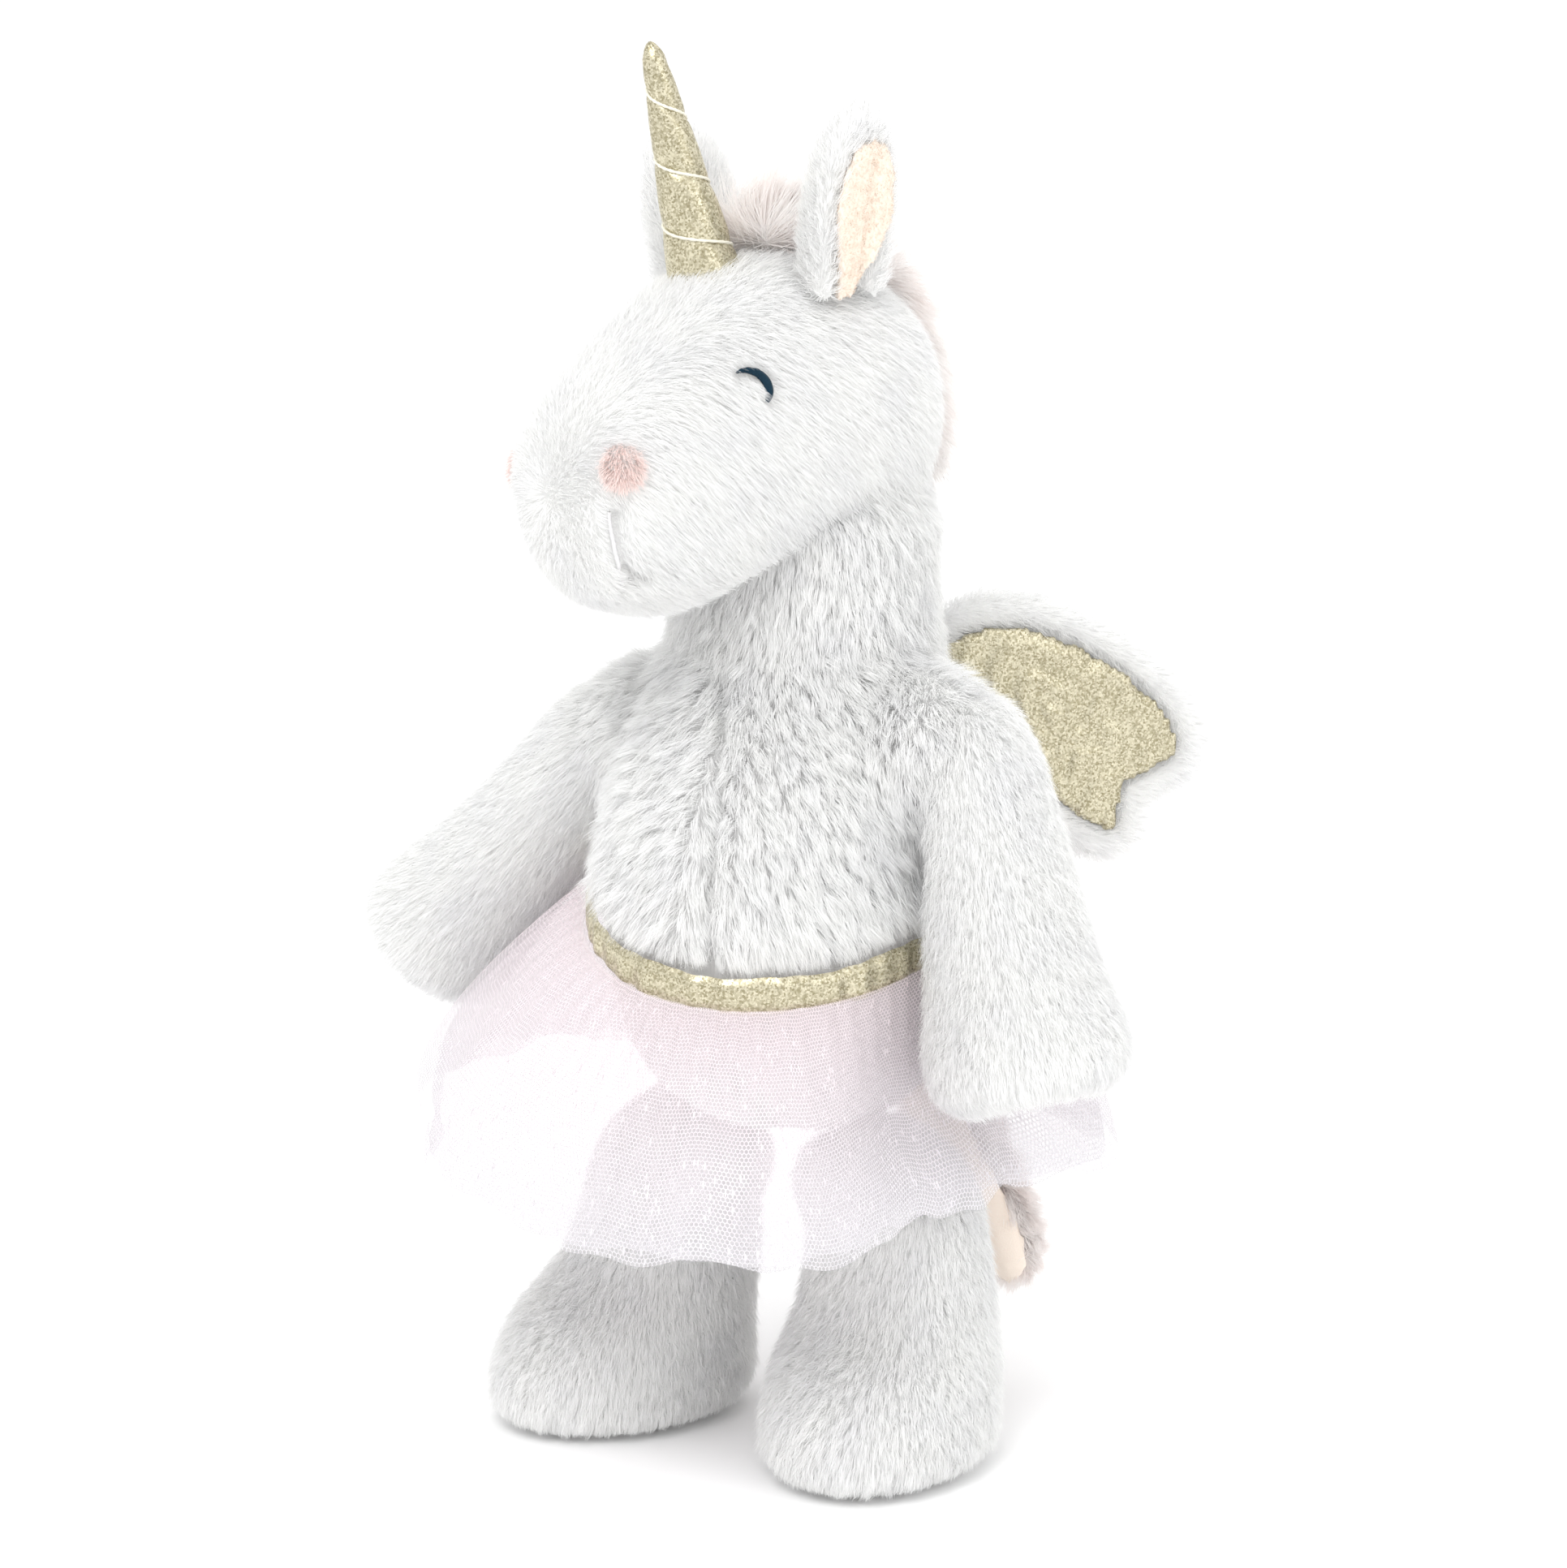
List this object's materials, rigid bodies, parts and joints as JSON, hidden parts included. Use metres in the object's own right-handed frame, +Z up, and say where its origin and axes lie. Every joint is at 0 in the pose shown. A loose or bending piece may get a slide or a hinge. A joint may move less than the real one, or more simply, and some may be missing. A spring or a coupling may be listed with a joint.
{
  "type": "plush unicorn toy",
  "caption": "Standing white plush unicorn with a gold spiral horn, gold-faced wings, a gold waistband and a pale pink glitter tulle skirt.",
  "frame": {"origin": "on the ground, under the middle of the whole figure", "axes": "+Z up, the toy's chest faces -Y, and its own left is +X"},
  "size_m": [0.2542, 0.2316, 0.3999],
  "materials": {
    "white_plush": "matte",
    "mane_plush": "matte",
    "peach_cloth": "matte",
    "pink_plush": "matte",
    "gold_lame": "satin",
    "cream_thread": "matte",
    "navy_thread": "matte",
    "pink_tulle": "satin",
    "fibre_fill": "matte"
  },
  "bodies": {
    "torso": {"torso_front_left": "white_plush", "torso_front_right": "white_plush", "torso_back": "white_plush", "torso_stuffing": "fibre_fill", "waistband": "gold_lame", "skirt_outer_tulle": "pink_tulle", "skirt_inner_tulle": "pink_tulle"},
    "neck": {"neck_plush": "white_plush", "neck_stuffing": "fibre_fill"},
    "head": {"head_side_left": "white_plush", "head_side_right": "white_plush", "head_gusset": "white_plush", "head_stuffing": "fibre_fill", "eye_left": "navy_thread", "eye_right": "navy_thread", "nostril_left": "pink_plush", "nostril_right": "pink_plush", "mouth_stitch_left": "white_plush", "mouth_stitch_right": "white_plush", "horn_cover": "gold_lame", "horn_stuffing": "fibre_fill", "horn_thread": "cream_thread", "mane": "mane_plush"},
    "ear_left": {"ear_plush_left": "white_plush", "ear_lining_left": "peach_cloth"},
    "arm_left": {"arm_outer_left": "white_plush", "arm_inner_left": "white_plush", "arm_pad_left": "white_plush", "arm_stuffing_left": "fibre_fill"},
    "leg_left": {"leg_outer_left": "white_plush", "leg_inner_left": "white_plush", "leg_sole_left": "white_plush", "leg_stuffing_left": "fibre_fill"},
    "wing_left": {"wing_plush_left": "white_plush", "wing_gold_left": "gold_lame", "wing_wadding_left": "fibre_fill"},
    "ear_right": {"ear_plush_right": "white_plush", "ear_lining_right": "peach_cloth"},
    "arm_right": {"arm_outer_right": "white_plush", "arm_inner_right": "white_plush", "arm_pad_right": "white_plush", "arm_stuffing_right": "fibre_fill"},
    "leg_right": {"leg_outer_right": "white_plush", "leg_inner_right": "white_plush", "leg_sole_right": "white_plush", "leg_stuffing_right": "fibre_fill"},
    "wing_right": {"wing_plush_right": "white_plush", "wing_gold_right": "gold_lame", "wing_wadding_right": "fibre_fill"},
    "tail": {"tail_plush": "mane_plush", "tail_backing": "peach_cloth"}
  },
  "joints": [
    {"name": "neck_nod", "type": "hinge", "parent": "torso", "child": "neck", "pos_m": [0.01435, -0.00004, 0.254], "axis": [1, 0, 0], "range_deg": [-15, 5]},
    {"name": "head_turn", "type": "hinge", "parent": "neck", "child": "head", "pos_m": [0.01435, -0.00004, 0.254], "axis": [0, 0, 1], "range_deg": [-25, 60]},
    {"name": "ear_left_fold", "type": "hinge", "parent": "head", "child": "ear_left", "pos_m": [0.039, -0.021, 0.334], "axis": [0.4722, 0.8813, -0.02], "range_deg": [-18, 18]},
    {"name": "ear_right_fold", "type": "hinge", "parent": "head", "child": "ear_right", "pos_m": [-0.0216, 0.001, 0.327], "axis": [-0.212, -0.976, 0.049], "range_deg": [-18, 18]},
    {"name": "arm_left_swing", "type": "hinge", "parent": "torso", "child": "arm_left", "pos_m": [0.07135, -0.00904, 0.204], "axis": [1, 0, 0], "range_deg": [-100, 15]},
    {"name": "arm_right_swing", "type": "hinge", "parent": "torso", "child": "arm_right", "pos_m": [-0.04265, -0.00904, 0.198], "axis": [1, 0, 0], "range_deg": [-90, 20]},
    {"name": "leg_left_swing", "type": "hinge", "parent": "torso", "child": "leg_left", "pos_m": [0.05035, -0.01204, 0.076], "axis": [1, 0, 0], "range_deg": [-60, 15], "deforming": ["skirt_outer_tulle", "skirt_inner_tulle"]},
    {"name": "leg_right_swing", "type": "hinge", "parent": "torso", "child": "leg_right", "pos_m": [-0.02165, -0.01204, 0.076], "axis": [1, 0, 0], "range_deg": [-60, 15]},
    {"name": "wing_left_flap", "type": "hinge", "parent": "torso", "child": "wing_left", "pos_m": [0.02135, 0.04796, 0.221], "axis": [0, 0, 1], "range_deg": [-10, 30]},
    {"name": "wing_right_flap", "type": "hinge", "parent": "torso", "child": "wing_right", "pos_m": [0.00735, 0.04796, 0.221], "axis": [0, 0, 1], "range_deg": [-30, 10]},
    {"name": "tail_lift", "type": "hinge", "parent": "torso", "child": "tail", "pos_m": [0.01635, 0.04596, 0.116], "axis": [1, 0, 0], "range_deg": [0, 60]}
  ]
}
